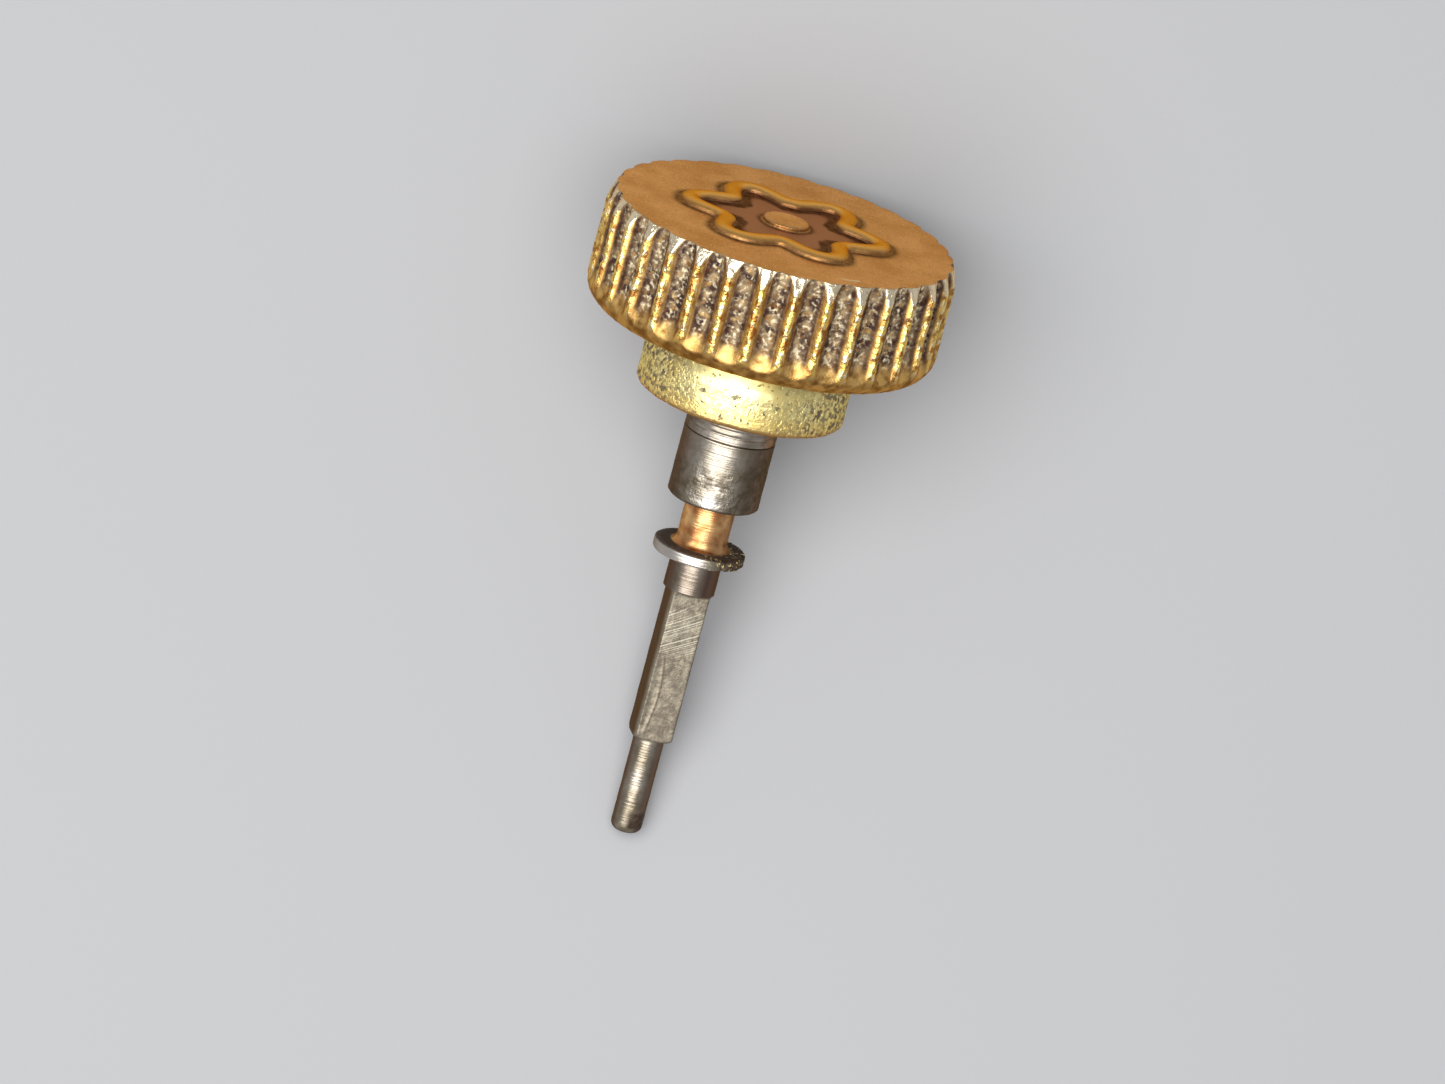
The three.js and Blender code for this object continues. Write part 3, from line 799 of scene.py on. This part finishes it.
def stem_rows():
    """The stem's profile from its tip to the thread's end, before the square and the thread are cut."""
    edge = 0.035
    chamfer = 0.05
    hub_chamfer = 0.012
    fine = 0.025
    fillet_middle = (GROOVE_RADIUS + GROOVE_FILLET, GROOVE_START + GROOVE_FILLET)
    return profile(
        (0, 0),
        arc((PILOT_RADIUS - PILOT_EDGE, PILOT_EDGE), (PILOT_EDGE, PILOT_EDGE), -90, 0, fine),
        line((PILOT_RADIUS, PILOT_EDGE), (PILOT_RADIUS, SQUARE_START), fine),
        line((PILOT_RADIUS, SQUARE_START), (SEAT_RADIUS - chamfer, SQUARE_START), 0.03),
        line((SEAT_RADIUS - chamfer, SQUARE_START), (SEAT_RADIUS, SQUARE_START + chamfer), 0.012),
        line((SEAT_RADIUS, SQUARE_START + chamfer), (SEAT_RADIUS, FLANGE_START), fine),
        line((SEAT_RADIUS, FLANGE_START), (FLANGE_RADIUS - edge, FLANGE_START), 0.03),
        arc((FLANGE_RADIUS - edge, FLANGE_START + edge), (edge, edge), -90, 0, 0.01),
        line((FLANGE_RADIUS, FLANGE_START + edge), (FLANGE_RADIUS, GROOVE_START - edge), 0.018),
        arc((FLANGE_RADIUS - edge, GROOVE_START - edge), (edge, edge), 0, 90, 0.01),
        line((FLANGE_RADIUS - edge, GROOVE_START), (GROOVE_RADIUS + GROOVE_FILLET, GROOVE_START), 0.02),
        arc(fillet_middle, (GROOVE_FILLET, GROOVE_FILLET), 270, 180, 0.02),
        line((GROOVE_RADIUS, GROOVE_START + GROOVE_FILLET), (GROOVE_RADIUS, HUB_START), fine),
        line((GROOVE_RADIUS, HUB_START), (HUB_RADIUS - edge, HUB_START), 0.03),
        line((HUB_RADIUS - edge, HUB_START), (HUB_RADIUS, HUB_START + edge), 0.012),
        line((HUB_RADIUS, HUB_START + edge), (HUB_RADIUS, HUB_END - hub_chamfer), fine),
        line((HUB_RADIUS, HUB_END - hub_chamfer), (HUB_RADIUS - hub_chamfer, HUB_END), 0.006),
        line((HUB_RADIUS - hub_chamfer, HUB_END), (THREAD_ROOT, HUB_END), 0.05),
        line((THREAD_ROOT, HUB_END), (THREAD_ROOT, THREAD_END), 0.02),
        line((THREAD_ROOT, THREAD_END), (0, THREAD_END), 0.08),
        (0, THREAD_END),
    )


def stem_thread(angle, height):
    """Radius of the stem's thread, which tapers off at its end."""
    cut = thread_radius(angle, height, THREAD_RADIUS, THREAD_ROOT)
    lead_in = THREAD_ROOT + THREAD_DEPTH * (1 - step(height, THREAD_END - THREAD_DEPTH, THREAD_END))
    return np.minimum(cut, lead_in)


def filed_flat(angle, height, in_square):
    """The square's upper flat: where it is, how deep its worn facet goes, the line along the facet's edge,
    and the number that the file's marks run along."""
    across = SQUARE_HALF_WIDTH * np.tan(flat_side(angle))
    upper_flat = in_square * (np.abs(side_angle(angle, UPPERMOST + SQUARE_TURN)) < math.pi / 4)
    past_edge = -0.2 + 0.1 * np.sin((height - SQUARE_START) * 2.0) - across
    along_facet = upper_flat * between(height, SQUARE_START + 0.12, SQUARE_START + 1.35, 0.1)
    off_corner = step(across, -SQUARE_HALF_WIDTH, -SQUARE_HALF_WIDTH + 0.12)
    facet = along_facet * off_corner * step(past_edge, 0.0, 0.05)
    depth = 0.022 * facet * (past_edge + 0.05) / 0.15
    facet_line = along_facet * bell(past_edge, 0.018)
    file_line = height - 0.8 * across + 0.3 * np.sin(2 * height)
    return upper_flat, depth, facet_line, file_line


def stem_dirt(radius, height, turn):
    """Dirt on the flange's upper side and in the lower joins, a darker tip, and a burnt patch on the pilot.
    """
    by_flange = between(height, GROOVE_START - 0.02, GROOVE_START + 0.05, 0.01)
    flange_top = by_flange * (radius > GROOVE_RADIUS + 0.07)
    joins = np.maximum(bell(height - SEAT_START, 0.022), bell(height - SQUARE_START, 0.03))
    on_pilot = (height < SQUARE_START) & (radius < PILOT_RADIUS + NEARLY)
    burnt = on_pilot * between(height, 0.1, 0.38, 0.05) * step(turn, -0.25, 0.25)
    dirt = 0.95 * flange_top + 0.75 * joins * (height < SEAT_START + 0.1) + burnt + 0.85 * bell(height, 0.1)
    return dirt, flange_top


def winding_stem():
    angle, radius, height = spread(stem_rows(), 224)
    turn = side_angle(angle, UPPERMOST)
    in_square = between(height, SQUARE_START, SEAT_START, SHARP) * (radius > PILOT_RADIUS + NEARLY)
    in_thread = (height > THREAD_START) & (np.abs(radius - THREAD_ROOT) < NEARLY)
    flats = SQUARE_HALF_WIDTH / np.cos(flat_side(angle))
    radius = np.where(in_square > 0, smooth_min(radius, flats, SQUARE_ROUNDING), radius)
    radius = np.where(in_thread, stem_thread(angle, height), radius)
    points = place(angle, radius, height)

    shown = (height < HUB_END - 0.04) & (radius > 0.05)
    on_rim = between(height, FLANGE_START, GROOVE_START, 0.01) * (radius > FLANGE_RADIUS - 0.08)
    ragged = on_rim * step(turn, 0.3, 0.8)
    upper_flat, facet_depth, facet_line, file_line = filed_flat(angle, height, in_square)
    depth = 0.005 * rough(points, 0.2, 11) + 0.035 * step(rough(points, 0.12, 12), 0.45, 0.75) * ragged
    points = sunk(points, (depth + facet_depth) * shown)

    in_groove = between(height, GROOVE_START + 0.01, HUB_START, SHARP) * (radius < HUB_RADIUS - 0.1)
    on_seat = between(height, SEAT_START, FLANGE_START, SHARP) * (radius < SEAT_RADIUS + NEARLY)
    on_hub = (height > HUB_START) & (radius > HUB_RADIUS - 0.05)
    lower_hub = 1 - step(height, HUB_START + 0.45, HUB_START + 0.85)
    # Painted shade: darker on the flanks away from the top.
    flank = step(np.abs(turn + 0.1), 0.4, 0.95) * (1 - 0.15 * (in_square == 0)) * (1 - upper_flat)
    dirt, flange_top = stem_dirt(radius, height, turn)
    # Painted highlight: a pale spot on the hub's lower edge, on its upper side.
    hub_highlight_spot = on_hub * bell(height - HUB_START - 0.12, 0.11) * bell(turn + 0.06, 0.17)
    # Painted shade: dark spots on the hub's right side and on the flange rim's right side; mottling on the
    # lower hub.
    hub_spots_and_shade = on_hub * np.clip(0.9 * lower_hub + 0.8 * step(turn, 0.3, 0.9), 0, 1)
    attributes = {
        "grime_and_shade": np.clip(dirt + 0.6 * ragged + 0.4 * in_thread + 0.75 * facet_line, 0, 1),
        "rust": in_groove * (0.95 - 0.45 * step(turn, 0.4, 1.1)),
        "stain_and_shade": np.clip(flank + 0.4 * on_seat, 0, 1),
        "mottling_and_shade": hub_spots_and_shade + 0.6 * on_rim * step(turn, 0.0, 0.6),
        "filed": upper_flat,
        "scratched": upper_flat * between(height, SQUARE_START + 1.3, SEAT_START - 0.15, 0.3),
        "file_line": file_line,
        "highlight_paint": hub_highlight_spot + 0.55 * on_rim * (1 - step(turn, 0.0, 0.5)),
        "specks": np.clip(on_rim + 0.6 * flange_top, 0, 1) * step(turn, 0.0, 0.4),
        "along": height,
    }
    piece = skin("winding_stem_body", points, attributes=attributes)
    steel = steel_finish("stem_steel", (0.45, 0.4, 0.33), (0.28, 0.235, 0.165))
    settle(piece, steel, "stem", "winding_stem")


# ---------------------------------------------------------------- seal


def seal_gasket():
    inner, outer = POST_RADIUS + GAP, POCKET_RADIUS - GAP
    middle, half = (inner + outer) / 2, (outer - inner) / 2
    centre = POCKET_END - GAP - GASKET_LENGTH / 2
    turn = np.linspace(0, 2 * math.pi, 40, endpoint=False)
    circle = np.stack([np.cos(turn), np.sin(turn)], 1)
    squared = np.sign(circle) * np.abs(circle) ** 0.5
    rows = np.stack([middle + half * squared[:, 0], centre + GASKET_LENGTH / 2 * squared[:, 1]], 1)
    points = place(*spread(rows, 160))
    points = sunk(points, 0.008 * rough(points, 0.2, 21))
    piece = skin("seal_gasket_ring", points, closed=True)
    settle(piece, rubber_finish(), "seal", "seal_gasket")


def seal_washer():
    inner, outer = POST_RADIUS + WASHER_CLEARANCE, POCKET_RADIUS - GAP
    low = POCKET_START + GAP
    high = low + WASHER_LENGTH
    edge = 0.02
    rows = profile(
        line((inner + edge, low), (outer - edge, low), 0.05),
        arc((outer - edge, low + edge), (edge, edge), -90, 0, 0.01),
        line((outer, low + edge), (outer, high - edge), 0.03),
        arc((outer - edge, high - edge), (edge, edge), 0, 90, 0.01),
        line((outer - edge, high), (inner + edge, high), 0.05),
        arc((inner + edge, high - edge), (edge, edge), 90, 180, 0.01),
        line((inner, high - edge), (inner, low + edge), 0.03),
        arc((inner + edge, low + edge), (edge, edge), 180, 270, 0.01),
    )
    angle, radius, height = spread(rows, 160)
    even = np.ones_like(height)
    attributes = {"grime_and_shade": 0.15 * even, "mottling_and_shade": 0.4 * even, "along": radius}
    piece = skin("seal_washer_ring", place(angle, radius, height), closed=True, attributes=attributes)
    steel = steel_finish("washer_steel", (0.62, 0.6, 0.56), (0.45, 0.4, 0.33))
    settle(piece, steel, "seal", "seal_washer")


# ---------------------------------------------------------------- floor, lights and camera


def floor():
    half = 1.0
    grey = (0.38, 0.38, 0.385, 1)
    corners = [(-half, -half, 0), (half, -half, 0), (half, half, 0), (-half, half, 0)]
    mesh = bpy.data.meshes.new("floor")
    mesh.from_pydata(corners, [], [(0, 1, 2, 3)])
    made = bpy.data.objects.new("floor", mesh)
    bpy.context.scene.collection.objects.link(made)
    mesh.materials.append(Paint("floor", 0.0, 0.8).finish(Base_Color=grey))


def area_light(name, place_mm, size_mm, radiance, aim_mm=(0, 0, 2)):
    """A round soft light with that radiance, so that its size can change without changing its highlights."""
    data = bpy.data.lights.new(name, "AREA")
    data.shape = "DISK"
    data.size = size_mm * MM
    data.energy = radiance * math.pi * math.pi * (size_mm * MM / 2) ** 2
    lamp = bpy.data.objects.new(name, data)
    lamp.location = Vector(place_mm) * MM
    lamp.rotation_euler = (Vector(aim_mm) - Vector(place_mm)).to_track_quat("-Z", "Y").to_euler()
    bpy.context.scene.collection.objects.link(lamp)


def lights():
    area_light("softbox", place_mm=(-16, -12, 92), size_mm=120, radiance=4.3)
    world = bpy.data.worlds.new("studio")
    world.use_nodes = True
    background = world.node_tree.nodes["Background"]
    background.inputs["Color"].default_value = (0.94, 0.96, 1.0, 1)
    background.inputs["Strength"].default_value = 0.4
    bpy.context.scene.world = world
    bpy.context.scene.view_settings.view_transform = "Standard"


def camera():
    """Straight above, turned so that the stem leans to the left, on a long lens."""
    roll = math.radians(14.9)
    distance = 600
    frame_width = 21.95
    head_height = 3.2
    aim_right, aim_down = 0.152, 0.654
    right = Vector((math.cos(roll), math.sin(roll), 0))
    up = Vector((-math.sin(roll), math.cos(roll), 0))
    hub = TO_ROW @ Vector((0, 0, HUB_START)) / MM
    spot = hub + right * aim_right - up * aim_down
    data = bpy.data.cameras.new("camera")
    data.lens = data.sensor_width * (distance - head_height) / frame_width
    data.clip_start = 0.01
    data.clip_end = 10
    made = bpy.data.objects.new("camera", data)
    made.location = Vector((spot.x, spot.y, distance)) * MM
    made.rotation_euler = (0, 0, roll)
    bpy.context.scene.collection.objects.link(made)
    bpy.context.scene.camera = made


camera()
floor()
lights()
crown_cap()
crown_core()
crown_post()
winding_stem()
seal_gasket()
seal_washer()
